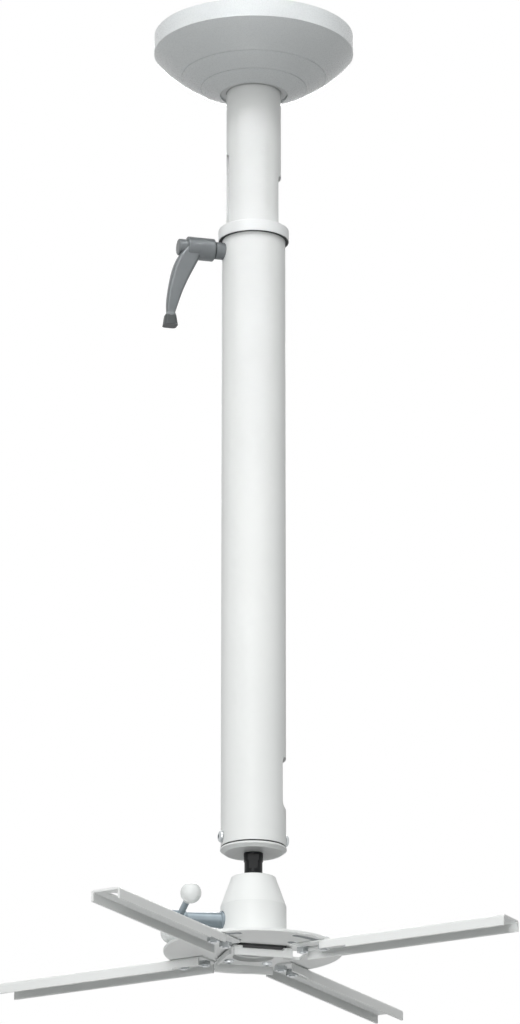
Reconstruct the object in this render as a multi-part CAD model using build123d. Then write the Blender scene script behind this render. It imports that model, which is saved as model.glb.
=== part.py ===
from build123d import *
import os
from math import asin, degrees, radians, sin, sqrt

# Projector ceiling mount: a telescopic column under a ceiling plate, a ball joint
# at its lower end, and a round plate that carries four swinging channel arms.
# Millimetres. Z is up and is the column's axis. The origin is on the ceiling.
# The clamp lever is on the -X side, the cable openings are on the +X side.

# Clearances
FIT = 0.03  # between pieces that are fixed to each other
RUN = 0.05  # a shaft that turns or slides in its own hole
SLIDE = 0.3  # between pieces that move past each other

# Ceiling plate and the socket that holds the column
PLATE_D = 150.0
PLATE_T = 6.0
PLATE_CABLE_HOLE_D = 44.0
CEILING_BOLT_PCD = 120.0
CEILING_BOLT_HOLE_D = 9.0
CEILING_BOLTS = 4
SOCKET_WALL = 4.0
SOCKET_H = 35.0
SOCKET_SCREWS = 3
SOCKET_SCREW_D = 6.0

# Inner and outer column tubes
INNER_D = 52.0
INNER_WALL = 2.5
INNER_L = 600.0
OUTER_D = 60.0
OUTER_WALL = 2.5
OUTER_L = 600.0
OUTER_TOP_Z = -203.0
TRAVEL_UP = 94.5
TRAVEL_DOWN = 250.0
GUIDE_SLOT_W = 9.4
CABLE_SLOT_TOP_Z = -145.0
CABLE_SLOT_L = 100.0
CABLE_SLOT_W = 34.0
CABLE_SLOT_R = 6.0
EXIT_FROM_TUBE_END = 35.0
EXIT_H = 49.0
EXIT_W = 40.0
EXIT_R = 6.0

# Guide bushes between the tubes
COLLAR_D = 66.8
COLLAR_H = 11.5
COLLAR_LIP = 4.0
COLLAR_SLEEVE_L = 12.0
LOWER_BUSH_L = 20.0

# Ceiling cover and the bush that grips the column
COVER_D = 190.6
COVER_RIM_H = 18.0
COVER_DEPTH = 60.0
COVER_BULGE_R = 69.0
COVER_BULGE_Z = -42.0
COVER_WALL = 2.0
COVER_HOLE_D = 64.4
COVER_LINE_RADII = (69.0, 50.5)
COVER_LINE_W = 0.9
COVER_LINE_DEPTH = 0.5
COVER_BUSH_H = 9.0
COVER_BUSH_RECESS = 1.5
COVER_BUSH_FLANGE = 3.0
COVER_BUSH_GAP = 1.0

# Clamp lever on the outer tube
LEVER_BELOW_TOP = 19.5
LEVER_STUD_D = 8.0
LEVER_BUSH_D = 16.4
LEVER_BUSH_L = 9.0
LEVER_HUB_D = 21.6
LEVER_HUB_L = 26.4
LEVER_CAP_D = 15.8
LEVER_CAP_L = 8.6
LEVER_INSERT_D = 12.0
LEVER_INSERT_L = 17.0
LEVER_DROP = 80.0
LEVER_SPLAY = 23.2
LEVER_ROOT_W = 15.6
LEVER_ROOT_T = 17.0
LEVER_BLADE_W = 20.0
LEVER_BLADE_T = 15.0
LEVER_WAIST_W = 7.7
LEVER_WAIST_T = 7.0
LEVER_FOOT_W = 13.2
LEVER_FOOT_T = 13.0
LEVER_FOOT_H = 13.0
LEVER_FOOT_STEP_H = 3.0
GUIDE_NUT_L = 26.0
GUIDE_NUT_W = 18.0
GUIDE_NUT_T = 5.5

# End cap in the outer tube
CAP_FLANGE_H = 3.2
CAP_CHAMFER_H = 2.8
CAP_PROUD = 0.5
CAP_GROOVE = 0.9
CAP_GROOVE_H = 1.6
CAP_FACE_D = 53.0
CAP_PLUG_H = 18.0
CAP_SCREW_D = 6.0
CAP_SCREW_ABOVE_END = 8.0
CAP_SCREW_HEAD_D = 11.0
CAP_SCREW_HEAD_H = 3.2
CAP_SCREW_L = 14.0
CAP_SCREW_SOCKET_AF = 4.0

# Ball stem
BALL_D = 38.0
BALL_BELOW_CAP = 65.0
STEM_COLLAR_D = 17.8
STEM_COLLAR_H = 8.0
NECK_D = 16.6
STEM_THREAD_D = 12.0
STEM_FLAT_AF = 14.6
STEM_FLAT_H = 13.5
STEM_FLAT_ANGLE = 16.0
STEM_NUT_AF = 19.0
STEM_NUT_H = 10.0
STEM_WASHER_D = 24.0
STEM_WASHER_T = 2.5

# Ball joint housing
HOUSING_D = 60.4
HOUSING_TOP_D = 40.8
HOUSING_TOP_ABOVE_BALL = 42.0
HOUSING_CONE_H = 27.5
HOUSING_BELOW_BALL = 25.0
HOUSING_MOUTH_D = 38.8
HOUSING_EDGE_R = 0.6
THROAT_D = 26.6
LINER_T = 2.5
BALL_GAP = 0.25
UPPER_LINER_LOW_DEG = 31.0
LOWER_LINER_HIGH_DEG = 26.0
LOWER_LINER_LOW_DEG = 62.0
SEAT_RIM_BELOW_BALL = 11.5
SEAT_HEX_AF = 12.0

# Side clamp of the ball joint
PAD_D = 10.0
PAD_L = 4.8
SPINDLE_D = 8.0
SLEEVE_SHANK_D = 12.0
SLEEVE_SHANK_L = 4.0
SLEEVE_ROOT_D = 14.6
SLEEVE_TIP_D = 11.0
SLEEVE_L = 31.8
SLEEVE_WASHER_D = 17.2
SLEEVE_WASHER_T = 3.0
SPINDLE_HEAD_D = 13.6
SPINDLE_HEAD_L = 13.2
BAR_D = 6.0
BAR_NEAR = 44.5
BAR_FAR = 28.5
BAR_TILT_DEG = 16.0
KNOB_D = 19.0
KNOB_NECK_D = 9.0
KNOB_NECK_L = 2.0
KNOB_SOCKET_DEPTH = 11.0

# Round plate under the housing
DISC_D = 164.0
DISC_T = 3.0
DISC_HOLE_D = 30.0
ARC_OUTER_R = 73.0
ARC_INNER_R = 51.0
SWING_WIDE_DEG = (13.0, 19.0)
SWING_IN_DEG = 6.0
ARC_OUTER_SPARE_DEG = (6.0, 10.0)
DISC_WINDOW_X = 32.0
DISC_WINDOW_L = 16.5
DISC_WINDOW_W = 32.0
DISC_WINDOW_R = 2.0

# Rubber mat and folded tray under the round plate
MAT_L = 66.0
MAT_W = 44.0
MAT_T = 2.0
TRAY_L = 68.0
TRAY_W = 57.0
TRAY_T = 2.0
TRAY_H = 9.3
TRAY_FLANGE_W = 55.0
TRAY_LIP_W = 42.0
TRAY_LIP_H = 6.0
TRAY_BEND_R = 2.5
TRAY_HOLE_D = 38.0
TRAY_WINDOW_W = 39.0
TRAY_WINDOW_H = 3.4
TRAY_WINDOW_DEPTH = 10.0
HUB_SCREW_R = 25.5
HUB_SCREWS = 4
HUB_SCREW_D = 5.0
HUB_SCREW_HEAD_D = 9.5
HUB_SCREW_HEAD_H = 2.75
HUB_SCREW_DEPTH = 10.0
HUB_SCREW_SOCKET_AF = 3.0

# Channel arms
ARM_NAMES = ("arm_front_left", "arm_front_right", "arm_back_right", "arm_back_left")
ARM_FIRST_DEG = -135.0
ARM_ROOT_R = 45.5
ARM_TIP_R = 263.0
ARM_W = 29.0
ARM_H = 10.0
ARM_T = 2.0
ARM_BEND_R = 2.6
ARM_SLOT_W = 8.0
ARM_SLOT_TIP_GAP = 9.0
ARM_WALL_R = 49.5
ARM_SHORT_WALL_R = 76.0
ARM_STEP_L = 27.0
ARM_STEP_H = 1.6
ARM_BOLT_D = 6.0
ARM_BOLT_HEAD_D = 10.5
ARM_BOLT_HEAD_H = 2.9
ARM_BOLT_SOCKET_AF = 4.0
ARM_BOLT_SPARE = 1.0
ARM_NUT_AF = 10.0
ARM_NUT_H = 4.0

# Places worked out from the sizes above
INNER_R = INNER_D / 2
INNER_BORE_R = INNER_R - INNER_WALL
INNER_TOP_Z = -PLATE_T
INNER_END_Z = INNER_TOP_Z - INNER_L
OUTER_R = OUTER_D / 2
OUTER_BORE_R = OUTER_R - OUTER_WALL
OUTER_END_Z = OUTER_TOP_Z - OUTER_L
LEVER_Z = OUTER_TOP_Z - LEVER_BELOW_TOP
CAP_FACE_Z = OUTER_END_Z - CAP_FLANGE_H - CAP_CHAMFER_H
CAP_TOP_Z = OUTER_END_Z + CAP_PLUG_H
BALL_R = BALL_D / 2
BALL_Z = CAP_FACE_Z - BALL_BELOW_CAP
LINER_IN_R = BALL_R + BALL_GAP
LINER_OUT_R = LINER_IN_R + LINER_T
CAVITY_R = LINER_OUT_R + BALL_GAP
HOUSING_TOP_Z = BALL_Z + HOUSING_TOP_ABOVE_BALL
HOUSING_CONE_Z = HOUSING_TOP_Z - HOUSING_CONE_H
HOUSING_END_Z = BALL_Z - HOUSING_BELOW_BALL
DISC_TOP_Z = HOUSING_END_Z
DISC_LOW_Z = DISC_TOP_Z - DISC_T
TRAY_TOP_Z = DISC_LOW_Z - MAT_T
PAD_FRONT_X = -LINER_IN_R
PAD_BACK_X = PAD_FRONT_X - PAD_L
SPOT_R = SLEEVE_WASHER_D / 2 + SLIDE
SPOT_X = -sqrt((HOUSING_D / 2) ** 2 - SPOT_R**2)
SLEEVE_ROOT_X = SPOT_X - SLEEVE_WASHER_T
SLEEVE_END_X = SLEEVE_ROOT_X - SLEEVE_L
SPINDLE_HEAD_X = SLEEVE_END_X - SLIDE
BAR_X = SPINDLE_HEAD_X - SPINDLE_HEAD_L / 2


def turned(points):
    """Solid of revolution about Z from a closed outline of (radius, z) points."""
    outline = Polyline(*[(r, 0, z) for r, z in points], close=True)
    return revolve(make_face(outline), Axis.Z)


def rod(radius, low, high):
    """Upright cylinder about Z between two heights."""
    return Pos(0, 0, (low + high) / 2) * Cylinder(radius, high - low)


def tube(outer, inner, low, high):
    """Upright tube about Z between two heights."""
    return rod(outer, low, high) - rod(inner, low - 1, high + 1)


def cross_rod(radius, start, end, y=0.0, z=0.0):
    """Cylinder along X between two places."""
    place = Pos((start + end) / 2, y, z) * Rot(0, 90, 0)
    return place * Cylinder(radius, abs(end - start))


def hexagon(across_flats, height):
    """Upright hexagonal bar standing on the XY plane."""
    return extrude(RegularPolygon(across_flats / sqrt(3), 6), height)


def side_window(width, height, corner, z, reach):
    """Rounded rectangular cutter through the +X wall of a tube."""
    sketch = Plane.YZ * Pos(0, z) * RectangleRounded(width, height, corner)
    return extrude(sketch, reach)


def circle_through(a, b, c):
    """Centre and radius of the circle through three (r, z) points."""
    d = 2 * (a[0] * (b[1] - c[1]) + b[0] * (c[1] - a[1]) + c[0] * (a[1] - b[1]))
    sa, sb, sc = (p[0] ** 2 + p[1] ** 2 for p in (a, b, c))
    x = (sa * (b[1] - c[1]) + sb * (c[1] - a[1]) + sc * (a[1] - b[1])) / d
    y = (sa * (c[0] - b[0]) + sb * (a[0] - c[0]) + sc * (b[0] - a[0])) / d
    return (x, y), sqrt((a[0] - x) ** 2 + (a[1] - y) ** 2)


def button_head(radius, height, socket_af):
    """Domed screw head above the XY plane, with a hexagonal socket."""
    crown = radius * 0.55
    outline = Polyline((0, 0, 0), (radius, 0, 0), (radius, 0, height * 0.25))
    dome = ThreePointArc(
        (radius, 0, height * 0.25),
        (radius * 0.86, 0, height * 0.74),
        (crown, 0, height),
    )
    top = Polyline((crown, 0, height), (0, 0, height), (0, 0, 0))
    head = revolve(make_face(outline + dome + top), Axis.Z)
    return head - Pos(0, 0, height * 0.4) * hexagon(socket_af, height)


def ceiling_plate():
    socket_r = INNER_R + FIT
    plate = rod(PLATE_D / 2, -PLATE_T, 0)
    plate += rod(socket_r + SOCKET_WALL, -PLATE_T - SOCKET_H, -PLATE_T)
    plate -= rod(socket_r, -PLATE_T - SOCKET_H - 1, -PLATE_T)
    plate -= rod(PLATE_CABLE_HOLE_D / 2, -PLATE_T - 1, 1)
    for place in PolarLocations(CEILING_BOLT_PCD / 2, CEILING_BOLTS, start_angle=45):
        plate -= place * rod(CEILING_BOLT_HOLE_D / 2, -PLATE_T - 1, 1)
    for angle in socket_screw_angles():
        reach = socket_r + SOCKET_WALL + 1
        plate -= Rot(0, 0, angle) * cross_rod(SOCKET_SCREW_D / 2, 0, reach, z=socket_screw_z())
    edge = plate.edges().filter_by(GeomType.CIRCLE).group_by(SortBy.RADIUS)[-1]
    return chamfer(edge, PLATE_T * 0.15)


def socket_screw_z():
    return -PLATE_T - SOCKET_H * 0.5


def socket_screw_angles():
    return [90 + 360 / SOCKET_SCREWS * i for i in range(SOCKET_SCREWS)]


def socket_screws():
    start = INNER_R
    end = INNER_R + FIT + SOCKET_WALL
    screw = cross_rod(SOCKET_SCREW_D / 2 - FIT, start, end, z=socket_screw_z())
    socket = Pos(end - SOCKET_WALL * 0.5, 0, socket_screw_z()) * Rot(0, 90, 0)
    screw -= socket * hexagon(SOCKET_SCREW_D / 2, SOCKET_WALL)
    return [Rot(0, 0, angle) * screw for angle in socket_screw_angles()]


def inner_tube():
    body = tube(INNER_R, INNER_BORE_R, INNER_END_Z, INNER_TOP_Z)
    stud_r = LEVER_STUD_D / 2
    slot_top = LEVER_Z + TRAVEL_UP + stud_r + SLIDE
    slot_end = LEVER_Z - TRAVEL_DOWN - stud_r - SLIDE
    slot_mid = (slot_top + slot_end) / 2
    slot = Plane.YZ * Pos(0, slot_mid) * SlotOverall(slot_top - slot_end, GUIDE_SLOT_W, 90)
    body -= extrude(slot, -INNER_R - 1)
    window_z = CABLE_SLOT_TOP_Z - CABLE_SLOT_L / 2
    return body - side_window(CABLE_SLOT_W, CABLE_SLOT_L, CABLE_SLOT_R, window_z, INNER_R + 1)


def lower_bush():
    outer = OUTER_BORE_R - SLIDE
    lip = INNER_WALL
    body = tube(outer, INNER_R + FIT, INNER_END_Z, INNER_END_Z + LOWER_BUSH_L)
    return body + tube(outer, INNER_BORE_R, INNER_END_Z - lip, INNER_END_Z)


def cover_arcs():
    """Centre and radius of the arc that the cover's outside follows below its rim."""
    rim = (COVER_D / 2, -COVER_RIM_H)
    bulge = (COVER_BULGE_R, COVER_BULGE_Z)
    hole = (COVER_HOLE_D / 2, -COVER_DEPTH)
    return circle_through(rim, bulge, hole)


def cover_z(radius, inset):
    """Height of the cover's bowl at a radius, on a skin inset from the outside."""
    (x, z), arc = cover_arcs()
    return z - sqrt((arc - inset) ** 2 - (radius - x) ** 2)


def ceiling_cover():
    rim_r = COVER_D / 2
    hole_r = COVER_HOLE_D / 2
    inside_r = rim_r - COVER_WALL
    middle = (rim_r + hole_r) / 2
    edges = [
        Line((inside_r, 0, 0), (rim_r, 0, 0)),
        Line((rim_r, 0, 0), (rim_r, 0, -COVER_RIM_H)),
        ThreePointArc(
            (rim_r, 0, -COVER_RIM_H),
            (middle, 0, cover_z(middle, 0)),
            (hole_r, 0, -COVER_DEPTH),
        ),
        Line((hole_r, 0, -COVER_DEPTH), (hole_r, 0, cover_z(hole_r, COVER_WALL))),
        ThreePointArc(
            (hole_r, 0, cover_z(hole_r, COVER_WALL)),
            (middle, 0, cover_z(middle, COVER_WALL)),
            (inside_r, 0, cover_z(inside_r, COVER_WALL)),
        ),
        Line((inside_r, 0, cover_z(inside_r, COVER_WALL)), (inside_r, 0, 0)),
    ]
    shell = revolve(make_face(Wire(edges)), Axis.Z)
    for radius in COVER_LINE_RADII:
        line_z = cover_z(radius, COVER_LINE_DEPTH)
        groove = tube(radius + COVER_LINE_W / 2, radius - COVER_LINE_W / 2, -COVER_DEPTH - 5, line_z)
        shell -= groove
    return shell


def cover_bush():
    """Plastic ring in the cover's hole, with a flange that rests on the cover inside."""
    hole_r = COVER_HOLE_D / 2
    base = -COVER_DEPTH + COVER_BUSH_RECESS
    seat = cover_z(hole_r + COVER_BUSH_FLANGE, COVER_WALL)
    ring = rod(hole_r - COVER_BUSH_GAP, base, seat + COVER_BUSH_H)
    ring += rod(hole_r + COVER_BUSH_FLANGE, seat + FIT, seat + COVER_BUSH_H)
    return ring - rod(INNER_R + SLIDE, base - 1, seat + COVER_BUSH_H + 1)


def outer_tube():
    body = tube(OUTER_R, OUTER_BORE_R, OUTER_END_Z, OUTER_TOP_Z)
    body -= cross_rod(LEVER_STUD_D / 2 + SLIDE, -OUTER_R - 1, 0, z=LEVER_Z)
    screw_z = OUTER_END_Z + CAP_SCREW_ABOVE_END
    body -= cross_rod(CAP_SCREW_D / 2 + FIT, -OUTER_R - 1, OUTER_R + 1, z=screw_z)
    window_z = OUTER_END_Z + EXIT_FROM_TUBE_END + EXIT_H / 2
    return body - side_window(EXIT_W, EXIT_H, EXIT_R, window_z, OUTER_R + 1)


def collar_ring():
    top = OUTER_TOP_Z + COLLAR_LIP
    ring = rod(COLLAR_D / 2, top - COLLAR_H, top)
    ring -= rod(OUTER_R + FIT, top - COLLAR_H - 1, OUTER_TOP_Z)
    ring += rod(OUTER_BORE_R - FIT, OUTER_TOP_Z - COLLAR_SLEEVE_L, OUTER_TOP_Z)
    ring -= rod(INNER_R + SLIDE, OUTER_TOP_Z - COLLAR_SLEEVE_L - 1, top + 1)
    rims = ring.edges().filter_by(GeomType.CIRCLE).group_by(SortBy.RADIUS)[-1]
    return fillet(rims, 0.8)


def guide_nut():
    """Threaded clamp block that rides inside the inner tube, behind its guide slot."""
    skin = INNER_BORE_R - SLIDE
    block = rod(skin, LEVER_Z - GUIDE_NUT_L / 2, LEVER_Z + GUIDE_NUT_L / 2)
    window = Pos(-skin + GUIDE_NUT_T / 2, 0, LEVER_Z)
    block &= window * Box(GUIDE_NUT_T, GUIDE_NUT_W, GUIDE_NUT_L)
    return block - cross_rod(LEVER_STUD_D / 2 + RUN, -INNER_R, 0, z=LEVER_Z)


def lever_hub_x():
    return -OUTER_R - LEVER_BUSH_L - SLIDE


def lever_bush():
    """Spacer between the tube and the lever, hollowed to sit on the round tube."""
    start = -OUTER_R * 0.9
    bush = cross_rod(LEVER_BUSH_D / 2, start, -OUTER_R - LEVER_BUSH_L, z=LEVER_Z)
    outside = bush.edges().filter_by(GeomType.CIRCLE).sort_by(Axis.X)[0]
    bush = chamfer(outside, 1.2)
    bush -= rod(OUTER_R + FIT, LEVER_Z - LEVER_BUSH_D, LEVER_Z + LEVER_BUSH_D)
    return bush - cross_rod(LEVER_STUD_D / 2 + RUN, 0, -OUTER_R - LEVER_BUSH_L - 1, z=LEVER_Z)


def lever_stud():
    hub = lever_hub_x()
    stud = cross_rod(LEVER_STUD_D / 2, -INNER_BORE_R + GUIDE_NUT_T, hub, z=LEVER_Z)
    return stud + cross_rod(LEVER_INSERT_D / 2, hub, hub - LEVER_INSERT_L, z=LEVER_Z)


def lever_cap_x():
    return lever_hub_x() - LEVER_HUB_L


def lever_section(drop, splay, width, thick):
    """Flat-sided section of the handle, measured down and outwards from the hub."""
    root_x = lever_cap_x() + LEVER_ROOT_W / 2 - SLIDE
    sketch = RectangleRounded(width, thick, 0.24 * min(width, thick))
    return Pos(root_x - splay, 0, LEVER_Z - drop) * sketch


def lever_blade_section(way):
    """Section of the blade at a share of the way from its widest place to its waist."""
    waist = LEVER_DROP - LEVER_FOOT_H
    start, start_splay = waist * 0.15, LEVER_SPLAY * 0.25
    drop = start + (waist - start) * way
    bow = way * (2 - way) * 0.6 + way * 0.4
    splay = start_splay + (LEVER_SPLAY * 0.98 - start_splay) * bow
    lean = way * (0.55 + 0.45 * way)
    width = LEVER_BLADE_W + (LEVER_WAIST_W - LEVER_BLADE_W) * lean
    thick = LEVER_BLADE_T + (LEVER_WAIST_T - LEVER_BLADE_T) * way
    return lever_section(drop, splay, width, thick)


def lever_blade():
    root = lever_section(0, 0, LEVER_ROOT_W, LEVER_ROOT_T)
    return loft([root] + [lever_blade_section(way) for way in (0, 0.42, 0.74, 1)])


def lever_foot():
    """Flared end of the handle: a short step out, then a straight taper."""
    step_w = (LEVER_WAIST_W + LEVER_FOOT_W) / 2
    step_t = (LEVER_WAIST_T + LEVER_FOOT_T) / 2
    step = lever_section(LEVER_DROP - LEVER_FOOT_H + LEVER_FOOT_STEP_H, LEVER_SPLAY, step_w, step_t)
    end = lever_section(LEVER_DROP, LEVER_SPLAY, LEVER_FOOT_W, LEVER_FOOT_T)
    return loft([lever_blade_section(1), step]) + loft([step, end])


def lever_handle():
    hub = cross_rod(LEVER_HUB_D / 2, lever_hub_x(), lever_cap_x(), z=LEVER_Z)
    hub = fillet(hub.edges().filter_by(GeomType.CIRCLE), 1.2)
    handle = hub + lever_blade() + lever_foot()
    insert_end = lever_hub_x() - LEVER_INSERT_L - FIT
    handle -= cross_rod(LEVER_INSERT_D / 2 + FIT, lever_hub_x() + 1, insert_end, z=LEVER_Z)
    cap_end = lever_cap_x() - LEVER_CAP_L - 1
    return handle - cross_rod(LEVER_CAP_D / 2 + FIT, lever_cap_x(), cap_end, z=LEVER_Z)


def lever_cap():
    """Round end piece of the lever's hub."""
    cap = cross_rod(LEVER_CAP_D / 2, lever_cap_x(), lever_cap_x() - LEVER_CAP_L, z=LEVER_Z)
    return fillet(cap.edges().filter_by(GeomType.CIRCLE).sort_by(Axis.X)[0], 1.5)


def end_cap():
    plug_r = OUTER_BORE_R - FIT
    flange_z = OUTER_END_Z - CAP_FLANGE_H
    cap = turned(
        [
            (0, CAP_TOP_Z),
            (plug_r - 1, CAP_TOP_Z),
            (plug_r, CAP_TOP_Z - 1),
            (plug_r, OUTER_END_Z),
            (OUTER_R - CAP_GROOVE, OUTER_END_Z),
            (OUTER_R - CAP_GROOVE, OUTER_END_Z - CAP_GROOVE_H),
            (OUTER_R + CAP_PROUD, OUTER_END_Z - CAP_GROOVE_H),
            (OUTER_R + CAP_PROUD, flange_z),
            (CAP_FACE_D / 2, CAP_FACE_Z),
            (0, CAP_FACE_Z),
        ]
    )
    cap -= rod(STEM_THREAD_D / 2 + FIT, CAP_FACE_Z - 1, CAP_TOP_Z + 1)
    screw_z = OUTER_END_Z + CAP_SCREW_ABOVE_END
    inside = OUTER_R - CAP_SCREW_L
    for side in (-1, 1):
        hole = cross_rod(CAP_SCREW_D / 2 + FIT, side * (inside - 1), side * OUTER_R, z=screw_z)
        cap -= hole
    return cap


def end_cap_screws():
    screw_z = OUTER_END_Z + CAP_SCREW_ABOVE_END
    head = button_head(CAP_SCREW_HEAD_D / 2, CAP_SCREW_HEAD_H, CAP_SCREW_SOCKET_AF)
    screw = head + rod(CAP_SCREW_D / 2, -CAP_SCREW_L, 0)
    return [
        Pos(side * OUTER_R, 0, screw_z) * Rot(0, side * 90, 0) * screw
        for side in (-1, 1)
    ]


def ball_stem():
    collar_low = CAP_FACE_Z - STEM_COLLAR_H
    thread_top = CAP_TOP_Z + STEM_WASHER_T + STEM_NUT_H + 3
    stem = Pos(0, 0, BALL_Z) * Sphere(BALL_R)
    stem += rod(NECK_D / 2, BALL_Z, collar_low)
    collar = rod(STEM_COLLAR_D / 2, collar_low, CAP_FACE_Z)
    stem += chamfer(collar.edges().filter_by(GeomType.CIRCLE).sort_by(Axis.Z)[0], 0.4)
    thread = rod(STEM_THREAD_D / 2, CAP_FACE_Z, thread_top)
    stem += chamfer(thread.edges().filter_by(GeomType.CIRCLE).sort_by(Axis.Z)[-1], 1.0)
    for side in (-1, 1):
        place = Pos(0, side * STEM_FLAT_AF, CAP_FACE_Z - STEM_FLAT_H / 2 - 2)
        flat = place * Box(2 * STEM_COLLAR_D, STEM_FLAT_AF, STEM_FLAT_H)
        stem -= Rot(0, 0, -STEM_FLAT_ANGLE) * flat
    return stem


def stem_washer():
    bore = STEM_THREAD_D / 2 + FIT
    return tube(STEM_WASHER_D / 2, bore, CAP_TOP_Z, CAP_TOP_Z + STEM_WASHER_T)


def stem_nut():
    base = CAP_TOP_Z + STEM_WASHER_T
    nut = Pos(0, 0, base) * hexagon(STEM_NUT_AF, STEM_NUT_H)
    return nut - rod(STEM_THREAD_D / 2 + FIT, base - 1, base + STEM_NUT_H + 1)


def ball_zone(low_deg, high_deg):
    """Ring of the shell around the ball between two latitudes."""
    shell = Pos(0, 0, BALL_Z) * (Sphere(LINER_OUT_R) - Sphere(LINER_IN_R))
    low, high = sin(radians(low_deg)), sin(radians(high_deg))
    middle_r = (LINER_IN_R + LINER_OUT_R) / 2
    return shell & rod(LINER_OUT_R + 1, BALL_Z + middle_r * low, BALL_Z + middle_r * high)


def upper_liner_top_deg():
    return 90 - degrees(asin((THROAT_D / 2 - BALL_GAP) / LINER_OUT_R))


def upper_liner():
    return ball_zone(UPPER_LINER_LOW_DEG, upper_liner_top_deg())


def lower_liner():
    return ball_zone(-LOWER_LINER_LOW_DEG, -LOWER_LINER_HIGH_DEG)


def joint_housing():
    top_r = HOUSING_TOP_D / 2
    body = turned(
        [
            (0, HOUSING_END_Z),
            (HOUSING_D / 2, HOUSING_END_Z),
            (HOUSING_D / 2, HOUSING_CONE_Z),
            (top_r, HOUSING_TOP_Z),
            (0, HOUSING_TOP_Z),
        ]
    )
    rims = body.edges().filter_by(GeomType.CIRCLE).sort_by(Axis.Z)
    body = fillet(rims[1:], HOUSING_EDGE_R)
    throat_z = BALL_Z + sqrt(CAVITY_R**2 - (THROAT_D / 2) ** 2)
    body -= turned(
        [
            (0, throat_z - 1),
            (THROAT_D / 2, throat_z - 1),
            (THROAT_D / 2, throat_z),
            (HOUSING_MOUTH_D / 2, HOUSING_TOP_Z),
            (HOUSING_MOUTH_D / 2, HOUSING_TOP_Z + 1),
            (0, HOUSING_TOP_Z + 1),
        ]
    )
    body -= Pos(0, 0, BALL_Z) * Sphere(CAVITY_R)
    body -= rod(CAVITY_R, HOUSING_END_Z - 1, BALL_Z)
    shank_x = SPOT_X + SLEEVE_SHANK_L
    body -= cross_rod(PAD_D / 2 + FIT, 0, -HOUSING_D, z=BALL_Z)
    body -= cross_rod(SLEEVE_SHANK_D / 2 + FIT, shank_x, -HOUSING_D, z=BALL_Z)
    body -= cross_rod(SPOT_R, SPOT_X, -HOUSING_D, z=BALL_Z)
    for place in hub_screw_places():
        body -= place * rod(HUB_SCREW_D / 2 + FIT, HOUSING_END_Z - 1, HOUSING_END_Z + HUB_SCREW_DEPTH)
    return body


def seat_plug():
    """Cup under the ball, held up by the round plate."""
    plug = rod(CAVITY_R - FIT, HOUSING_END_Z, BALL_Z - SEAT_RIM_BELOW_BALL)
    plug -= Pos(0, 0, BALL_Z) * Sphere(CAVITY_R)
    return plug - Pos(0, 0, HOUSING_END_Z - 1) * hexagon(SEAT_HEX_AF, CAVITY_R)


def brake_pad():
    pad = cross_rod(PAD_D / 2, 0, PAD_BACK_X, z=BALL_Z)
    return pad - Pos(0, 0, BALL_Z) * Sphere(LINER_IN_R)


def clamp_sleeve():
    """Tapered sleeve that guides the clamp spindle, its shank in the housing's wall."""
    shank_x = SPOT_X + SLEEVE_SHANK_L
    sleeve = cross_rod(SLEEVE_SHANK_D / 2, shank_x, SLEEVE_ROOT_X, z=BALL_Z)
    middle = Pos((SLEEVE_ROOT_X + SLEEVE_END_X) / 2, 0, BALL_Z) * Rot(0, -90, 0)
    sleeve += middle * Cone(SLEEVE_ROOT_D / 2, SLEEVE_TIP_D / 2, SLEEVE_L)
    return sleeve - cross_rod(SPINDLE_D / 2 + RUN, 0, SLEEVE_END_X - 1, z=BALL_Z)


def sleeve_washer():
    washer = cross_rod(SLEEVE_WASHER_D / 2, SPOT_X, SLEEVE_ROOT_X, z=BALL_Z)
    washer = chamfer(washer.edges().filter_by(GeomType.CIRCLE).sort_by(Axis.X)[0], 0.6)
    return washer - cross_rod(SLEEVE_SHANK_D / 2 + FIT, 0, SLEEVE_END_X, z=BALL_Z)


def bar_place():
    """Frame of the cross bar: its own Z points along the bar to the near, upper end."""
    return Pos(BAR_X, 0, BALL_Z) * Rot(90 - BAR_TILT_DEG, 0, 0)


def clamp_spindle():
    end_x = SPINDLE_HEAD_X - SPINDLE_HEAD_L
    head = cross_rod(SPINDLE_HEAD_D / 2, SPINDLE_HEAD_X, end_x, z=BALL_Z)
    spindle = chamfer(head.edges().filter_by(GeomType.CIRCLE), 0.8)
    spindle += cross_rod(SPINDLE_D / 2, PAD_BACK_X - SLIDE, SPINDLE_HEAD_X, z=BALL_Z)
    return spindle - bar_place() * rod(BAR_D / 2 + RUN, -SPINDLE_HEAD_D, SPINDLE_HEAD_D)


def tommy_bar():
    tip = KNOB_SOCKET_DEPTH - KNOB_D / 2
    return bar_place() * rod(BAR_D / 2, -BAR_FAR - tip, BAR_NEAR + tip)


def knob(reach):
    """Ball knob on the bar, its neck towards the spindle."""
    inner = -KNOB_D / 2 - KNOB_NECK_L
    tip = KNOB_SOCKET_DEPTH - KNOB_D / 2
    ball = Sphere(KNOB_D / 2) + rod(KNOB_NECK_D / 2, inner, 0)
    ball -= rod(BAR_D / 2 + FIT, inner - 1, tip + FIT)
    if reach > 0:
        return bar_place() * Pos(0, 0, reach) * ball
    return bar_place() * Pos(0, 0, reach) * Rot(180, 0, 0) * ball


def hub_screw_places():
    return PolarLocations(HUB_SCREW_R, HUB_SCREWS, start_angle=45)


def arm_angles():
    count = len(ARM_NAMES)
    return [ARM_FIRST_DEG + 360 / count * i for i in range(count)]


def arc_slots(index, angle):
    """The two arc slots of one arm; the wide way is towards the front or the back."""
    pair = index % 2
    slots = Sketch()
    for radius, spare in ((ARC_OUTER_R, ARC_OUTER_SPARE_DEG[pair]), (ARC_INNER_R, 0)):
        wide = SWING_WIDE_DEG[pair] + spare
        start = angle - (wide if pair else SWING_IN_DEG)
        arc = CenterArc((0, 0), radius, start, wide + SWING_IN_DEG)
        slots += SlotArc(arc, ARM_BOLT_D + 2 * SLIDE)
    return slots


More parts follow.
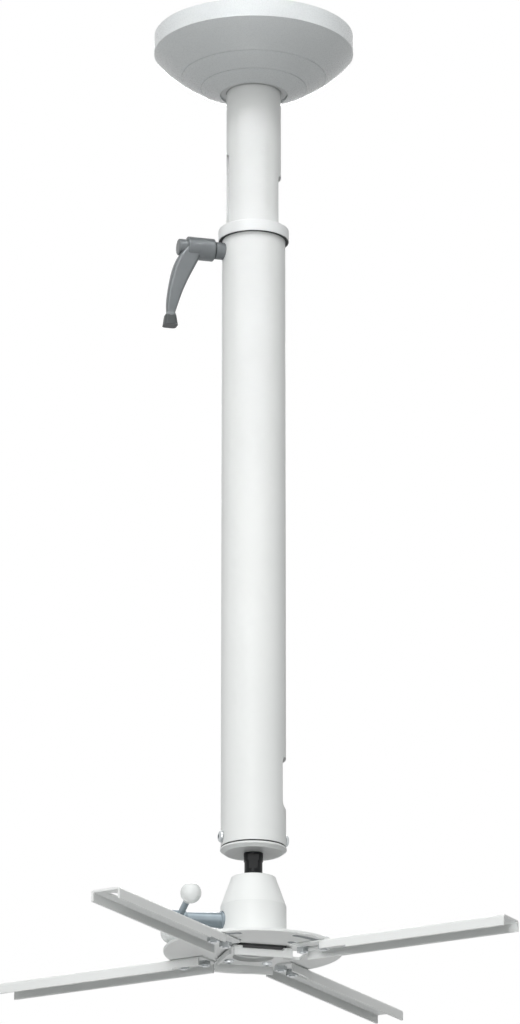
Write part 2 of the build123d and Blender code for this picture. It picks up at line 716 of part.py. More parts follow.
def disc_plate():
    disc = rod(DISC_D / 2, DISC_LOW_Z, DISC_TOP_Z)
    rims = disc.edges().filter_by(GeomType.CIRCLE)
    disc = fillet(rims, DISC_T * 0.25)
    disc -= rod(DISC_HOLE_D / 2, DISC_LOW_Z - 1, DISC_TOP_Z + 1)
    cuts = Sketch()
    for index, angle in enumerate(arm_angles()):
        cuts += arc_slots(index, angle)
    middle = DISC_WINDOW_X + DISC_WINDOW_L / 2
    cuts += Pos(middle, 0) * RectangleRounded(DISC_WINDOW_L, DISC_WINDOW_W, DISC_WINDOW_R)
    disc -= Pos(0, 0, DISC_LOW_Z - 1) * extrude(cuts, DISC_T + 2)
    for place in hub_screw_places():
        disc -= place * rod(HUB_SCREW_D / 2 + FIT, DISC_LOW_Z - 1, DISC_TOP_Z + 1)
    return disc


def rubber_mat():
    """Damping mat between the round plate and the tray."""
    mat = Pos(0, 0, DISC_LOW_Z - MAT_T / 2) * Box(MAT_W, MAT_L, MAT_T)
    mat -= rod(TRAY_HOLE_D / 2, TRAY_TOP_Z - 1, DISC_LOW_Z + 1)
    for place in hub_screw_places():
        mat -= place * rod(HUB_SCREW_D / 2 + FIT, TRAY_TOP_Z - 1, DISC_LOW_Z + 1)
    return mat


def tray_side(reach, width, height):
    """Half of the tray's sheet along +X, with its end folded down."""
    top = TRAY_TOP_Z
    side = Pos(reach / 2, 0, top - TRAY_T / 2) * Box(reach, width, TRAY_T)
    side += Pos(reach - TRAY_T / 2, 0, top - height / 2) * Box(TRAY_T, width, height)
    bend = side.edges().filter_by(Axis.Y).sort_by(Axis.X)[-2:].sort_by(Axis.Z)[-1]
    return fillet(bend, TRAY_BEND_R)


def hub_tray():
    """Sheet folded down at the front, the back and the lever side, open on the cable side."""
    top = TRAY_TOP_Z
    long_side = tray_side(TRAY_L / 2, TRAY_FLANGE_W, TRAY_H)
    window = Box(2 * TRAY_WINDOW_DEPTH, TRAY_WINDOW_W, TRAY_WINDOW_H + 2)
    window = Pos(TRAY_L / 2, 0, top - TRAY_WINDOW_H / 2 + 1) * window
    tray = Rot(0, 0, 90) * long_side
    tray += Rot(0, 0, -90) * (long_side - window)
    tray += Rot(0, 0, 180) * tray_side(TRAY_W / 2, TRAY_LIP_W, TRAY_LIP_H)
    tray -= rod(TRAY_HOLE_D / 2, top - TRAY_H, top + 1)
    for place in hub_screw_places():
        tray -= place * rod(HUB_SCREW_D / 2 + FIT, top - TRAY_H, top + 1)
    return tray


def hub_screws():
    base = TRAY_TOP_Z - TRAY_T
    head = Rot(180, 0, 0) * button_head(HUB_SCREW_HEAD_D / 2, HUB_SCREW_HEAD_H, HUB_SCREW_SOCKET_AF)
    length = TRAY_T + MAT_T + DISC_T + HUB_SCREW_DEPTH - 1
    screw = head + rod(HUB_SCREW_D / 2, 0, length)
    return [place * Pos(0, 0, base) * screw for place in hub_screw_places()]


def arm_channel():
    """One arm along +X, a sheet folded to a channel that is open below, with a long slot."""
    top = DISC_LOW_Z
    section = Rectangle(ARM_W, ARM_H, align=(Align.CENTER, Align.MAX))
    section = fillet(section.vertices().group_by(Axis.Y)[-1], ARM_BEND_R)
    hollow = Rectangle(ARM_W - 2 * ARM_T, ARM_H, align=(Align.CENTER, Align.MAX))
    hollow = fillet(hollow.vertices().group_by(Axis.Y)[-1], ARM_BEND_R - ARM_T)
    channel = Plane.YZ * Pos(0, top) * (section - Pos(0, -ARM_T) * hollow)
    arm = Pos(ARM_ROOT_R, 0, 0) * extrude(channel, ARM_TIP_R - ARM_ROOT_R)
    slot_start = ARC_INNER_R - ARM_SLOT_W / 2
    slot_end = ARM_TIP_R - ARM_SLOT_TIP_GAP
    slot = Pos((slot_start + slot_end) / 2, 0) * SlotOverall(slot_end - slot_start, ARM_SLOT_W)
    return arm - Pos(0, 0, top - ARM_T - 1) * extrude(slot, ARM_T + 2)


def wall_cut(start, end, low, side):
    """Cutter that takes a stretch of the wall on one side of an arm, up to a depth under its top."""
    place = Pos((start + end) / 2, side * ARM_W / 2, DISC_LOW_Z - low - ARM_H / 2)
    return place * Box(end - start, ARM_W - 2 * ARM_T, ARM_H)


def arm_piece(index):
    """An arm along +X: no walls at its root, and a shallower wall on the side that faces the front."""
    front = 1 if index in (0, 3) else -1
    front_start = ARM_SHORT_WALL_R if index < 2 else ARM_WALL_R
    arm = arm_channel()
    arm -= wall_cut(ARM_ROOT_R - 1, ARM_WALL_R, ARM_T, -front)
    arm -= wall_cut(ARM_ROOT_R - 1, front_start, ARM_T, front)
    return arm - wall_cut(front_start - 1, front_start + ARM_STEP_L, ARM_H - ARM_STEP_H, front)


def arm_bolts():
    """Two bolts, heads on the round plate, shanks down through the arm's slot."""
    head = button_head(ARM_BOLT_HEAD_D / 2, ARM_BOLT_HEAD_H, ARM_BOLT_SOCKET_AF)
    reach = DISC_T + ARM_T + ARM_NUT_H + ARM_BOLT_SPARE
    bolt = head + rod(ARM_BOLT_D / 2, -reach, 0)
    return [Pos(radius, 0, DISC_TOP_Z) * bolt for radius in (ARC_INNER_R, ARC_OUTER_R)]


def arm_nuts():
    """Two nuts inside the channel, under the arm's web."""
    top = DISC_LOW_Z - ARM_T
    nut = Pos(0, 0, top - ARM_NUT_H) * hexagon(ARM_NUT_AF, ARM_NUT_H)
    nut -= rod(ARM_BOLT_D / 2 + FIT, top - ARM_NUT_H - 1, top + 1)
    return [Pos(radius, 0, 0) * nut for radius in (ARC_INNER_R, ARC_OUTER_R)]


def write(name, solids):
    """Writes one node from a solid or a list of separate solids."""
    if isinstance(solids, list):
        solids = Compound(children=[solid for group in solids for solid in group.solids()])
    export_step(solids, "parts/" + name + ".step")


def main():
    os.makedirs("parts", exist_ok=True)
    write("ceiling_plate", ceiling_plate())
    write("socket_screws", socket_screws())
    write("inner_tube", inner_tube())
    write("lower_bush", lower_bush())
    write("ceiling_cover", ceiling_cover())
    write("cover_bush", cover_bush())
    write("outer_tube", outer_tube())
    write("collar_ring", collar_ring())
    write("guide_nut", guide_nut())
    write("lever_bush", lever_bush())
    write("lever_stud", lever_stud())
    write("lever_handle", lever_handle())
    write("lever_cap", lever_cap())
    write("end_cap", end_cap())
    write("end_cap_screws", end_cap_screws())
    write("ball_stem", ball_stem())
    write("stem_washer", stem_washer())
    write("stem_nut", stem_nut())
    write("upper_liner", upper_liner())
    write("lower_liner", lower_liner())
    write("joint_housing", joint_housing())
    write("seat_plug", seat_plug())
    write("brake_pad", brake_pad())
    write("clamp_sleeve", clamp_sleeve())
    write("sleeve_washer", sleeve_washer())
    write("clamp_spindle", clamp_spindle())
    write("tommy_bar", tommy_bar())
    write("knob_near", knob(BAR_NEAR))
    write("knob_far", knob(-BAR_FAR))
    write("disc_plate", disc_plate())
    write("rubber_mat", rubber_mat())
    write("hub_tray", hub_tray())
    write("hub_screws", hub_screws())
    bolts, nuts = arm_bolts(), arm_nuts()
    for index, (name, angle) in enumerate(zip(ARM_NAMES, arm_angles())):
        turn = Rot(0, 0, angle)
        write(name, turn * arm_piece(index))
        write(name + "_bolts", [turn * bolt for bolt in bolts])
        write(name + "_nuts", [turn * nut for nut in nuts])


main()
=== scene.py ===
"""Looks of a projector ceiling mount: a telescopic column, a ball joint and four slotted arms.

Metres, in the CAD frame: Z is up along the column, the origin is on the ceiling, the clamp lever
is on the -X side and the cable openings are on the +X side.
"""

import math

import bpy
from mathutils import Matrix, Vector

MM = 0.001

# Bands that a Wave texture of scale 1 draws in one unit
WAVE_BANDS_PER_UNIT = 20 / (2 * math.pi)

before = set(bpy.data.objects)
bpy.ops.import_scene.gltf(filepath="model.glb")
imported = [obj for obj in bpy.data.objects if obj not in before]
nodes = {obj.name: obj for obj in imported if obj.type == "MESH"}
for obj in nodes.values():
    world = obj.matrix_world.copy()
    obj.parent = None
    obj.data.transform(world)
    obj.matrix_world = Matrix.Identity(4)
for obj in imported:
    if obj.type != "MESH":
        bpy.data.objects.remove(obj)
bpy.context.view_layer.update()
scene = bpy.context.scene
bpy.ops.object.select_all(action="DESELECT")

# Which CAD nodes share a finish. finish_pieces names the single ones, and what is left over is
# plated: screws, bolts, nuts and washers.
ARMS = ("arm_front_left", "arm_front_right", "arm_back_right", "arm_back_left")
TUBES = ("ceiling_plate", "inner_tube", "outer_tube", "end_cap")
HUB = ("joint_housing", "disc_plate", "hub_tray")
RINGS = ("cover_bush", "collar_ring", "lower_bush")
CAST = ("lever_handle", "lever_cap", "lever_bush")
TURNED = ("clamp_sleeve", "clamp_spindle", "sleeve_washer", "tommy_bar")
KNOBS = ("knob_near", "knob_far")
LINERS = ("upper_liner", "lower_liner", "brake_pad", "seat_plug")

# Middle of the collar ring and top of the lever's foot
COLLAR_MIDDLE_Z = -205 * MM
LEVER_FOOT_Z = -293 * MM

# Groove between the outer tube and the end cap's flange, inside the tube's radius. Its faces
# are made black as painted shade in the gap.
CAP_GROOVE_TOP_Z = -802.9 * MM
CAP_GROOVE_LOW_Z = -804.7 * MM
CAP_GROOVE_R = 29.5 * MM

# Ring of the round plate that holds the arc slots, the angle that its window takes on each side
# of +X, and the mat's middle hole
ARC_SLOTS_INNER_R = 45 * MM
ARC_SLOTS_OUTER_R = 80 * MM
WINDOW_HALF_DEG = 30
MAT_HOLE_R = 20 * MM

# A face whose normal leans less than this along Z is a wall, and one past LEVEL is a flat
WALL = 0.5
LEVEL = 0.9

# Studio: the floor is whole out to FLOOR_FULL_R and fades to its edge. FLOOR_WHITE is the share
# of plain white in what the camera sees of it.
FLOOR_Z = -7.0
FLOOR_SIZE = 15.6
FLOOR_FULL_R = 5.0
FLOOR_WHITE = 0.75

# Camera at the photograph's viewing angle
IMAGE_H = 1024
FOCAL_PX = 5840
SENSOR_MM = 24.0
CAMERA_PLACE = Vector((-1.393, -4.978, -2.199))
CAMERA_PITCH_DEG = 18.4
CAMERA_AZIMUTH_DEG = -15.7


def linear(hex_colour):
    """Linear RGBA of an sRGB hex colour."""
    channels = [int(hex_colour[i : i + 2], 16) / 255 for i in (1, 3, 5)]
    lin = [c / 12.92 if c <= 0.04045 else ((c + 0.055) / 1.055) ** 2.4 for c in channels]
    return (*lin, 1.0)


def add_node(tree, kind, settings=None, values=None, links=None):
    """Adds a node, sets its properties and sockets, and links outputs into its sockets."""
    node = tree.nodes.new(kind)
    for key, value in (settings or {}).items():
        setattr(node, key, value)
    for key, value in (values or {}).items():
        node.inputs[key].default_value = value
    for key, output in (links or {}).items():
        tree.links.new(output, node.inputs[key])
    return node


def per_metre(feature_mm):
    """Texture scale whose features repeat about every so many millimetres."""
    return 1.0 / (feature_mm * MM)


def new_finish(name):
    """Empty node material: the material, its tree, and a piece's own coordinates."""
    material = bpy.data.materials.new(name)
    material.use_nodes = True
    tree = material.node_tree
    tree.nodes.clear()
    coords = add_node(tree, "ShaderNodeTexCoord")
    return material, tree, coords.outputs["Object"]


def powder_coat():
    """Polyester powder coat, baked on steel.

    White and satin. It flows into a fine orange peel, about 2 mm from crest to crest, and lies a
    little thicker in places, which shows as a faint cloudiness a hand's width across.
    """
    material, tree, coords = new_finish("white_powder_coat")
    peel = add_node(
        tree,
        "ShaderNodeTexNoise",
        values={"Scale": per_metre(2.0), "Detail": 2.0, "Roughness": 0.5},
        links={"Vector": coords},
    )
    cloud = add_node(
        tree,
        "ShaderNodeTexNoise",
        values={"Scale": per_metre(70.0), "Detail": 3.0, "Roughness": 0.55},
        links={"Vector": coords},
    )
    colour = add_node(
        tree,
        "ShaderNodeMix",
        {"data_type": "RGBA"},
        {"A": linear("#E5E7E6"), "B": linear("#EFF1F0")},
        {"Factor": cloud.outputs["Fac"]},
    )
    gloss = add_node(
        tree,
        "ShaderNodeMapRange",
        values={"From Min": 0.3, "From Max": 0.7, "To Min": 0.36, "To Max": 0.46},
        links={"Value": peel.outputs["Fac"]},
    )
    bump = add_node(
        tree,
        "ShaderNodeBump",
        values={"Strength": 0.15, "Distance": 0.05 * MM},
        links={"Height": peel.outputs["Fac"]},
    )
    coat = add_node(
        tree,
        "ShaderNodeBsdfPrincipled",
        values={"IOR": 1.5, "Specular IOR Level": 0.3},
        links={
            "Base Color": colour.outputs["Result"],
            "Roughness": gloss.outputs["Result"],
            "Normal": bump.outputs["Normal"],
        },
    )
    add_node(tree, "ShaderNodeOutputMaterial", links={"Surface": coat.outputs["BSDF"]})
    return material


def moulded(name, dark, light, low_rough, high_rough):
    """Injection-moulded plastic.

    An even tone with a soft sheen. The mould's spark-eroded wall leaves a very fine grain, drawn
    here at about 1 mm so that it shows, and the melt's flow leaves broad, faint changes of tone.
    """
    material, tree, coords = new_finish(name)
    flow = add_node(
        tree,
        "ShaderNodeTexNoise",
        values={"Scale": per_metre(35.0), "Detail": 3.0, "Roughness": 0.55},
        links={"Vector": coords},
    )
    spark = add_node(
        tree,
        "ShaderNodeTexNoise",
        values={"Scale": per_metre(1.0), "Detail": 2.0, "Roughness": 0.5},
        links={"Vector": coords},
    )
    colour = add_node(
        tree,
        "ShaderNodeMix",
        {"data_type": "RGBA"},
        {"A": linear(dark), "B": linear(light)},
        {"Factor": flow.outputs["Fac"]},
    )
    gloss = add_node(
        tree,
        "ShaderNodeMapRange",
        values={"From Min": 0.3, "From Max": 0.7, "To Min": low_rough, "To Max": high_rough},
        links={"Value": spark.outputs["Fac"]},
    )
    bump = add_node(
        tree,
        "ShaderNodeBump",
        values={"Strength": 0.1, "Distance": 0.03 * MM},
        links={"Height": spark.outputs["Fac"]},
    )
    plastic = add_node(
        tree,
        "ShaderNodeBsdfPrincipled",
        values={"IOR": 1.48},
        links={
            "Base Color": colour.outputs["Result"],
            "Roughness": gloss.outputs["Result"],
            "Normal": bump.outputs["Normal"],
        },
    )
    add_node(tree, "ShaderNodeOutputMaterial", links={"Surface": plastic.outputs["BSDF"]})
    return material


def tumbled_zinc():
    """Zinc die casting, tumbled with stones.

    Satin grey metal. The stones leave a pebbled skin of marks under a millimetre wide, and duller
    patches about a centimetre across where they rubbed less.
    """
    material, tree, coords = new_finish("lever_zinc_casting")
    patch = add_node(
        tree,
        "ShaderNodeTexNoise",
        values={"Scale": per_metre(10.0), "Detail": 4.0, "Roughness": 0.55},
        links={"Vector": coords},
    )
    pebble = add_node(
        tree,
        "ShaderNodeTexVoronoi",
        {"feature": "SMOOTH_F1"},
        {"Scale": per_metre(0.8), "Smoothness": 0.6},
        {"Vector": coords},
    )
    colour = add_node(
        tree,
        "ShaderNodeMix",
        {"data_type": "RGBA"},
        {"A": linear("#6C7072"), "B": linear("#7C8082")},
        {"Factor": patch.outputs["Fac"]},
    )
    gloss = add_node(
        tree,
        "ShaderNodeMapRange",
        values={"From Min": 0.3, "From Max": 0.7, "To Min": 0.4, "To Max": 0.55},
        links={"Value": patch.outputs["Fac"]},
    )
    bump = add_node(
        tree,
        "ShaderNodeBump",
        values={"Strength": 0.12, "Distance": 0.05 * MM},
        links={"Height": pebble.outputs["Distance"]},
    )
    zinc = add_node(
        tree,
        "ShaderNodeBsdfPrincipled",
        values={"Metallic": 0.75},
        links={
            "Base Color": colour.outputs["Result"],
            "Roughness": gloss.outputs["Result"],
            "Normal": bump.outputs["Normal"],
        },
    )
    add_node(tree, "ShaderNodeOutputMaterial", links={"Surface": zinc.outputs["BSDF"]})
    return material


def turned_steel():
    """Bright steel off the lathe, nickel plated.

    Cool grey metal whose tool marks run round the piece, so its shine comes in faint rings along
    the axis. The rings are drawn at 1.5 mm, about five times the real feed, so that they show.
    """
    material, tree, coords = new_finish("clamp_turned_steel")
    rings = add_node(
        tree,
        "ShaderNodeTexWave",
        {"wave_type": "BANDS", "bands_direction": "X"},
        {"Scale": per_metre(1.5) / WAVE_BANDS_PER_UNIT, "Distortion": 0.6, "Detail": 2.0},
        {"Vector": coords},
    )
    stain = add_node(
        tree,
        "ShaderNodeTexNoise",
        values={"Scale": per_metre(8.0), "Detail": 3.0, "Roughness": 0.5},
        links={"Vector": coords},
    )
    colour = add_node(
        tree,
        "ShaderNodeMix",
        {"data_type": "RGBA"},
        {"A": linear("#879299"), "B": linear("#97A1A7")},
        {"Factor": stain.outputs["Fac"]},
    )
    gloss = add_node(
        tree,
        "ShaderNodeMapRange",
        values={"To Min": 0.42, "To Max": 0.44},
        links={"Value": rings.outputs["Fac"]},
    )
    steel = add_node(
        tree,
        "ShaderNodeBsdfPrincipled",
        values={"Metallic": 1.0},
        links={"Base Color": colour.outputs["Result"], "Roughness": gloss.outputs["Result"]},
    )
    add_node(tree, "ShaderNodeOutputMaterial", links={"Surface": steel.outputs["BSDF"]})
    return material


def zinc_plate():
    """Cold-headed steel screws, bright zinc plated.

    Pale metal with the plating's cloudy bloom, a few millimetres across, dulling it in places.
    """
    material, tree, coords = new_finish("screw_zinc_plate")
    bloom = add_node(
        tree,
        "ShaderNodeTexNoise",
        values={"Scale": per_metre(4.0), "Detail": 4.0, "Roughness": 0.6},
        links={"Vector": coords},
    )
    colour = add_node(
        tree,
        "ShaderNodeMix",
        {"data_type": "RGBA"},
        {"A": linear("#B2B6B8"), "B": linear("#CBCFD0")},
        {"Factor": bloom.outputs["Fac"]},
    )
    gloss = add_node(
        tree,
        "ShaderNodeMapRange",
        values={"From Min": 0.3, "From Max": 0.7, "To Min": 0.26, "To Max": 0.42},
        links={"Value": bloom.outputs["Fac"]},
    )
    plate = add_node(
        tree,
        "ShaderNodeBsdfPrincipled",
        values={"Metallic": 1.0},
        links={"Base Color": colour.outputs["Result"], "Roughness": gloss.outputs["Result"]},
    )
    add_node(tree, "ShaderNodeOutputMaterial", links={"Surface": plate.outputs["BSDF"]})
    return material


def arc_slot_painted_shade():
    """Painted shade on the walls of the arc slots: a dull mid grey, well below the white coat,
    that stands in for the shade inside the slots.

    Fine streaks in its tone and shine, drawn about 1 mm apart.
    """
    material, tree, coords = new_finish("slot_wall_painted_shade")
    streak = add_node(
        tree,
        "ShaderNodeTexNoise",
        values={"Scale": per_metre(1.0), "Detail": 3.0, "Roughness": 0.6},
        links={"Vector": coords},
    )
    colour = add_node(
        tree,
        "ShaderNodeMix",
        {"data_type": "RGBA"},
        {"A": linear("#989C9E"), "B": linear("#A8ACAE")},
        {"Factor": streak.outputs["Fac"]},
    )
    gloss = add_node(
        tree,
        "ShaderNodeMapRange",
        values={"From Min": 0.3, "From Max": 0.7, "To Min": 0.5, "To Max": 0.65},
        links={"Value": streak.outputs["Fac"]},
    )
    edge = add_node(
        tree,
        "ShaderNodeBsdfPrincipled",
        values={"Metallic": 0.3},
        links={"Base Color": colour.outputs["Result"], "Roughness": gloss.outputs["Result"]},
    )
    add_node(tree, "ShaderNodeOutputMaterial", links={"Surface": edge.outputs["BSDF"]})
    return material


def black_rubber_and_painted_shade():
    """Sheet rubber, pressed between cloths.

    Dull black with a faint grey bloom and the cloth's weave of about 1 mm in its skin. The same
    finish is also laid as painted shade in the end cap's groove and on the collar ring's lower
    face.
    """
    material, tree, coords = new_finish("mat_rubber_and_painted_shade")
    weave = add_node(
        tree,
        "ShaderNodeTexVoronoi",
        {"distance": "MANHATTAN"},
        {"Scale": per_metre(1.0), "Randomness": 0.2},
        {"Vector": coords},
    )
    bloom = add_node(
        tree,
        "ShaderNodeTexNoise",
        values={"Scale": per_metre(12.0), "Detail": 3.0, "Roughness": 0.6},
        links={"Vector": coords},
    )
    colour = add_node(
        tree,
        "ShaderNodeMix",
        {"data_type": "RGBA"},
        {"A": linear("#28292A"), "B": linear("#363839")},
        {"Factor": bloom.outputs["Fac"]},
    )
    gloss = add_node(
        tree,
        "ShaderNodeMapRange",
        values={"From Min": 0.3, "From Max": 0.7, "To Min": 0.7, "To Max": 0.85},
        links={"Value": bloom.outputs["Fac"]},
    )
    bump = add_node(
        tree,
        "ShaderNodeBump",
        values={"Strength": 0.3, "Distance": 0.1 * MM},
        links={"Height": weave.outputs["Distance"]},
    )
    rubber = add_node(
        tree,
        "ShaderNodeBsdfPrincipled",
        links={
            "Base Color": colour.outputs["Result"],
            "Roughness": gloss.outputs["Result"],
            "Normal": bump.outputs["Normal"],
        },
    )
    add_node(tree, "ShaderNodeOutputMaterial", links={"Surface": rubber.outputs["BSDF"]})
    return material


def black_oxide():
    """Blackened steel, oiled.

    Near black, with a dull shine that varies with the oil film over a few millimetres.
    """
    material, tree, coords = new_finish("black_oxide_steel")
    film = add_node(
        tree,
        "ShaderNodeTexNoise",
        values={"Scale": per_metre(5.0), "Detail": 4.0, "Roughness": 0.55},
        links={"Vector": coords},
    )
    colour = add_node(
        tree,
        "ShaderNodeMix",
        {"data_type": "RGBA"},
        {"A": linear("#0A0C0D"), "B": linear("#15181A")},
        {"Factor": film.outputs["Fac"]},
    )
    gloss = add_node(
        tree,
        "ShaderNodeMapRange",
        values={"From Min": 0.3, "From Max": 0.7, "To Min": 0.3, "To Max": 0.42},
        links={"Value": film.outputs["Fac"]},
    )
    oxide = add_node(
        tree,
        "ShaderNodeBsdfPrincipled",
        values={"Specular IOR Level": 0.2},
        links={"Base Color": colour.outputs["Result"], "Roughness": gloss.outputs["Result"]},
    )
    add_node(tree, "ShaderNodeOutputMaterial", links={"Surface": oxide.outputs["BSDF"]})
    return material


def wear(node_names, material):
    """Gives CAD nodes one finish."""
    for name in node_names:
        mesh = nodes[name].data
        mesh.materials.clear()
        mesh.materials.append(material)


def wear_faces(name, material, chosen):
    """Gives a second finish to the faces of a CAD node that a test picks by place and normal."""
    mesh = nodes[name].data
    mesh.materials.append(material)
    for face in mesh.polygons:
        if chosen(face.center, face.normal):
            face.material_index = len(mesh.materials) - 1


def in_arc_slot(place, normal):
    """True on the walls of the round plate's arc slots, which get painted shade."""
    radius = math.hypot(place.x, place.y)
    off_window = abs(math.atan2(place.y, place.x)) > math.radians(WINDOW_HALF_DEG)
    in_ring = ARC_SLOTS_INNER_R < radius < ARC_SLOTS_OUTER_R
    return abs(normal.z) < WALL and in_ring and off_window


def in_cap_groove(place, normal):
    """True in the groove between the outer tube and the end cap's flange, whose faces get painted
    shade.
    """
    inside = math.hypot(place.x, place.y) < CAP_GROOVE_R
    return CAP_GROOVE_LOW_Z < place.z < CAP_GROOVE_TOP_Z and inside


def in_mat_hole(place, normal):
    """True on the wall of the mat's middle hole."""
    return abs(normal.z) < WALL and math.hypot(place.x, place.y) < MAT_HOLE_R


def under_collar(place, normal):
    """True on the collar ring's lower face, which is made black as painted shade under the ring.
    """
    return normal.z < -LEVEL and place.z < COLLAR_MIDDLE_Z


def on_lever_foot(place, normal):
    """True on the flared foot at the lower end of the lever."""
    return place.z < LEVER_FOOT_Z


def finish_pieces():
    """Puts the right finish on every CAD node, and a second one on some of their faces."""
    wear(nodes, zinc_plate())
    coat = powder_coat()
    wear((*TUBES, *HUB, *ARMS), coat)
    wear(["ceiling_cover"], moulded("cover_abs", "#E8ECED", "#EFF3F4", 0.24, 0.32))
    wear(RINGS, moulded("ring_polypropylene", "#E9EBEB", "#F1F3F3", 0.42, 0.52))
    wear(KNOBS, moulded("knob_urea_resin", "#E0E3E2", "#EAEDEC", 0.16, 0.24))
    wear(LINERS, moulded("liner_acetal", "#1C1D1E", "#252627", 0.38, 0.48))
    wear(CAST, tumbled_zinc())
    wear(TURNED, turned_steel())
    wear(["ball_stem"], black_oxide())
    # One black finish: the rubber mat's own colour, and painted shade in the cap's groove and
    # under the collar ring.
    rubber = black_rubber_and_painted_shade()
    wear(["rubber_mat"], rubber)
    wear_faces("rubber_mat", coat, in_mat_hole)
    # Painted shade: the arc slots' walls get a mid grey that stands in for the shade inside them.
    wear_faces("disc_plate", arc_slot_painted_shade(), in_arc_slot)
    # Painted shade: the end cap's groove is made black with the rubber finish, for the shade in
    # the gap.
    wear_faces("end_cap", rubber, in_cap_groove)
    # Painted shade: the collar ring's lower face is made black with the rubber finish.
    wear_faces("collar_ring", rubber, under_collar)
    # The flared foot gets a darker grey than the rest of the lever.
    foot_grey = moulded("lever_foot_darker_grey", "#3A3E3F", "#454A4B", 0.45, 0.55)
    wear_faces("lever_handle", foot_grey, on_lever_foot)


def sight_rays(tree):
    """Output that is 1 for what the camera sees, straight, reflected or through a clear piece."""
    path = add_node(tree, "ShaderNodeLightPath")
    shiny = add_node(
        tree,
        "ShaderNodeMath",
        {"operation": "MAXIMUM"},
        links={0: path.outputs["Is Glossy Ray"], 1: path.outputs["Is Transmission Ray"]},
    )
    seen = add_node(
        tree,
        "ShaderNodeMath",
        {"operation": "MAXIMUM"},
        links={0: path.outputs["Is Camera Ray"], 1: shiny.outputs[0]},
    )
    return seen.outputs[0]


def studio_floor():
    """Plain pale floor far below the mount. It fades out at its rim and is clear from below."""
    bpy.ops.object.select_all(action="DESELECT")
    bpy.ops.mesh.primitive_plane_add(size=FLOOR_SIZE, location=(0, 0, FLOOR_Z))
    floor = bpy.context.object
    floor.name = "studio_floor"
    material, tree, coords = new_finish("pale_floor_paint")
    tone = add_node(
        tree,
        "ShaderNodeTexNoise",
        values={"Scale": per_metre(400.0), "Detail": 2.0},
        links={"Vector": coords},
    )
    colour = add_node(
        tree,
        "ShaderNodeMix",
        {"data_type": "RGBA"},
        {"A": linear("#E6E6E6"), "B": linear("#EEEEEE")},
        {"Factor": tone.outputs["Fac"]},
    )
    paint = add_node(
        tree,
        "ShaderNodeBsdfPrincipled",
        values={"Roughness": 0.8},
        links={"Base Color": colour.outputs["Result"]},
    )
    white = add_node(
        tree,
        "ShaderNodeEmission",
        values={"Color": linear("#FFFFFF"), "Strength": 1.0},
    )
    share = add_node(
        tree,
        "ShaderNodeMath",
        {"operation": "MULTIPLY"},
        {1: FLOOR_WHITE},
        {0: sight_rays(tree)},
    )
    pale = add_node(
        tree,
        "ShaderNodeMixShader",
        links={0: share.outputs[0], 1: paint.outputs[0], 2: white.outputs[0]},
    )
    reach = add_node(tree, "ShaderNodeVectorMath", {"operation": "LENGTH"}, links={0: coords})
    fade = add_node(
        tree,
        "ShaderNodeMapRange",
        values={"From Min": FLOOR_FULL_R, "From Max": FLOOR_SIZE / 2},
        links={"Value": reach.outputs["Value"]},
    )
    side = add_node(tree, "ShaderNodeNewGeometry")
    gone = add_node(
        tree,
        "ShaderNodeMath",
        {"operation": "MAXIMUM"},
        links={0: fade.outputs["Result"], 1: side.outputs["Backfacing"]},
    )
    clear = add_node(tree, "ShaderNodeBsdfTransparent")
    surface = add_node(
        tree,
        "ShaderNodeMixShader",
        links={0: gone.outputs[0], 1: pale.outputs[0], 2: clear.outputs[0]},
    )
    add_node(tree, "ShaderNodeOutputMaterial", links={"Surface": surface.outputs[0]})
    floor.data.materials.append(material)


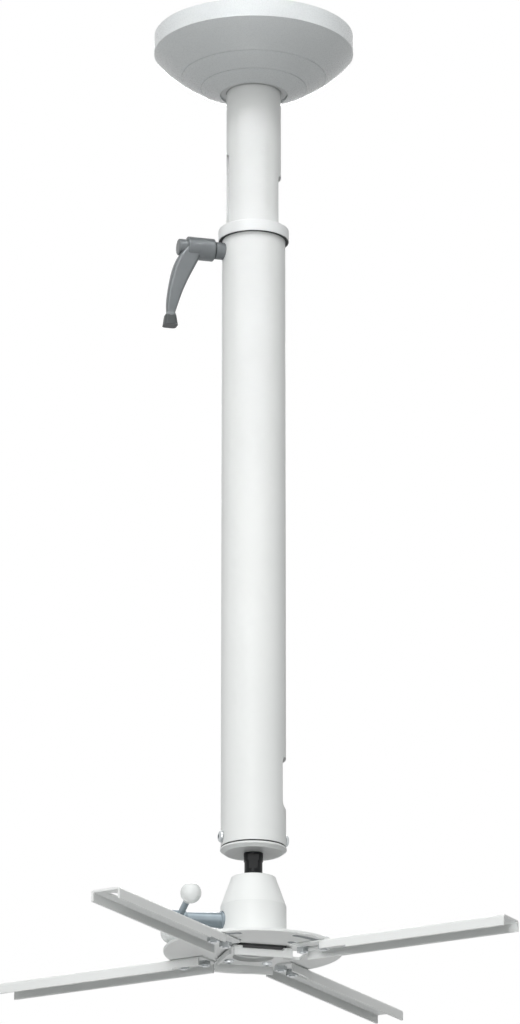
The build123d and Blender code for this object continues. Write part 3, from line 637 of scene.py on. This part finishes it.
def studio_world():
    """White to the camera and in reflections. As a light it is strongest at the horizon, weak
    overhead, off below, and a little stronger from the lever's side.
    """
    world = bpy.data.worlds.new("studio_world")
    scene.world = world
    world.use_nodes = True
    tree = world.node_tree
    tree.nodes.clear()
    sky = add_node(tree, "ShaderNodeTexCoord")
    way = add_node(tree, "ShaderNodeSeparateXYZ", links={0: sky.outputs["Generated"]})
    level = add_node(
        tree,
        "ShaderNodeMapRange",
        values={"From Min": 0.0, "From Max": 1.0, "To Min": 0.84, "To Max": 0.1},
        links={"Value": way.outputs["Z"]},
    )
    below = add_node(
        tree,
        "ShaderNodeMapRange",
        values={"From Min": -0.25, "From Max": -0.05, "To Min": 0.0, "To Max": 1.0},
        links={"Value": way.outputs["Z"]},
    )
    side = add_node(
        tree,
        "ShaderNodeMapRange",
        values={"From Min": -1.0, "From Max": 1.0, "To Min": 0.93, "To Max": 0.82},
        links={"Value": way.outputs["X"]},
    )
    above = add_node(
        tree,
        "ShaderNodeMath",
        {"operation": "MULTIPLY"},
        links={0: level.outputs["Result"], 1: below.outputs["Result"]},
    )
    strength = add_node(
        tree,
        "ShaderNodeMath",
        {"operation": "MULTIPLY"},
        links={0: above.outputs[0], 1: side.outputs["Result"]},
    )
    fill = add_node(
        tree,
        "ShaderNodeBackground",
        values={"Color": linear("#FAFBFA")},
        links={"Strength": strength.outputs[0]},
    )
    white = add_node(
        tree,
        "ShaderNodeBackground",
        values={"Color": linear("#FFFFFF"), "Strength": 1.0},
    )
    mix = add_node(
        tree,
        "ShaderNodeMixShader",
        links={0: sight_rays(tree), 1: fill.outputs[0], 2: white.outputs[0]},
    )
    add_node(tree, "ShaderNodeOutputWorld", links={"Surface": mix.outputs[0]})


def soft_box(name, place, aim, size, watts, spread_deg=180):
    """Square area lamp aimed at a point, with a grid that narrows its spread."""
    lamp = bpy.data.lights.new(name, "AREA")
    lamp.shape = "SQUARE"
    lamp.size = size
    lamp.energy = watts
    lamp.spread = math.radians(spread_deg)
    holder = bpy.data.objects.new(name, lamp)
    scene.collection.objects.link(holder)
    holder.location = place
    holder.rotation_euler = (Vector(aim) - Vector(place)).to_track_quat("-Z", "Y").to_euler()


def studio_lamps():
    """A large key box above the front, and small ones that lift the column, the cover's rim, the
    undersides and the back.
    """
    soft_box("key_box", (-0.85, -2.25, 2.9), (0, 0, -0.5), 3.0, 84)
    soft_box("front_box", (-1.38, -2.89, -0.7), (0, 0, -0.72), 0.9, 2.15, 34)
    soft_box("rim_box", (-0.85, -2.25, 2.3), (0, 0, 0), 0.5, 0.33, 13)
    soft_box("low_box", (-0.15, -0.15, -1.85), (0, 0, -0.9), 0.5, 2.8)
    soft_box("back_box", (0.65, 2.45, 0.8), (0, 0, -0.45), 0.8, 25)


def photo_camera():
    """Camera that sees the mount from below and a little from the left, as in the photograph."""
    data = bpy.data.cameras.new("photo_camera")
    data.sensor_fit = "VERTICAL"
    data.sensor_height = SENSOR_MM
    data.lens = FOCAL_PX / IMAGE_H * SENSOR_MM
    data.clip_end = 50.0
    camera = bpy.data.objects.new("photo_camera", data)
    scene.collection.objects.link(camera)
    camera.location = CAMERA_PLACE
    turn = math.radians(CAMERA_AZIMUTH_DEG)
    camera.rotation_euler = (math.radians(90 + CAMERA_PITCH_DEG), 0, turn)
    scene.camera = camera


scene.view_settings.view_transform = "Standard"
finish_pieces()
studio_floor()
studio_world()
studio_lamps()
photo_camera()
